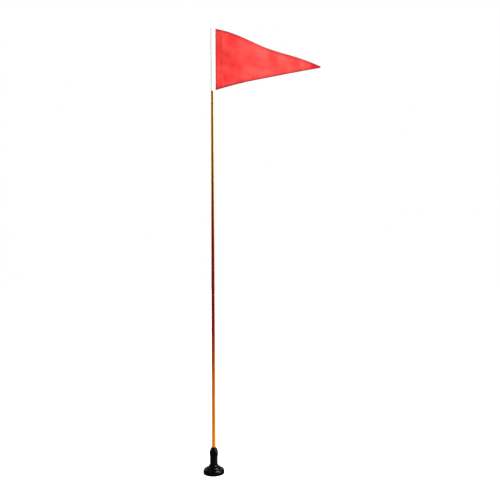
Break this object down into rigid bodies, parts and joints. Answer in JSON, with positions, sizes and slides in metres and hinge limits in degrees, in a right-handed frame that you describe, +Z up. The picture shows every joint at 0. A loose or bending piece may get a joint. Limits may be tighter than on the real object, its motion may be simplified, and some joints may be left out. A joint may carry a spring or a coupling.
{
  "type": "golf flagstick",
  "caption": "Free-standing golf flagstick: tapered stick in a weighted round foot with a clamp nut, and a pennant that turns on a rod at the top.",
  "frame": {"origin": "centre of the foot's underside", "axes": "+Z up along the stick, +X towards the flag's tip at rest"},
  "size_m": [0.5704, 0.1, 2.1336],
  "materials": {
    "black_plastic": "moulded, fine grain, semi-gloss",
    "black_rubber": "moulded rubber, satin",
    "plated_steel": "zinc plated",
    "cast_weight": "as cast, black primer",
    "grey_nylon": "machined nylon",
    "brass_washer": "turned",
    "amber_fibreglass": "glossy coated fibreglass, amber at both ends and maroon between",
    "bare_aluminium": "drawn, satin",
    "white_plastic": "moulded, satin",
    "white_canvas": "plain-woven canvas, stitched",
    "red_nylon": "plain-woven nylon, hemmed and stitched"
  },
  "bodies": {
    "base": {"foot_pad": "black_rubber", "bottom_cover": "plated_steel", "cover_screws": "plated_steel", "base_shell": "black_plastic", "ballast": "cast_weight", "centre_bolt": "plated_steel", "bolt_washer": "plated_steel", "lock_washer": "plated_steel", "socket": "plated_steel", "neck_sleeve": "black_rubber", "butt_cushion": "black_rubber"},
    "clamp_carrier": {"collet": "grey_nylon", "thrust_washer": "brass_washer"},
    "clamp_nut": {"collet_nut": "black_plastic", "nut_seal": "black_rubber"},
    "pole": {"butt_plug": "grey_nylon", "pole_tube": "amber_fibreglass", "swivel_rod": "bare_aluminium", "rest_washer": "white_plastic", "tip_cap": "white_plastic", "cap_screw": "plated_steel"},
    "flag": {"flag_tube": "white_plastic", "upper_bush": "white_plastic", "lower_bush": "white_plastic", "header_sleeve": "white_canvas", "pennant": "red_nylon"}
  },
  "joints": [
    {"name": "clamp_lift", "type": "slide", "parent": "base", "child": "clamp_carrier", "axis": [0, 0, 1], "range_m": [0, 0.006]},
    {"name": "nut_turn", "type": "hinge", "parent": "clamp_carrier", "child": "clamp_nut", "pos_m": [0, 0, 0.1], "axis": [0, 0, 1], "range_deg": [0, 721]},
    {"name": "pole_lift", "type": "slide", "parent": "base", "child": "pole", "axis": [0, 0, 1], "range_m": [0, 0.08]},
    {"name": "flag_swivel", "type": "hinge", "parent": "pole", "child": "flag", "pos_m": [0, 0, 1.9], "axis": [0, 0, 1], "continuous": true}
  ],
  "couplings": [
    {"joint": "nut_turn", "follows": "clamp_lift", "rad_per_m": 2094.4}
  ]
}
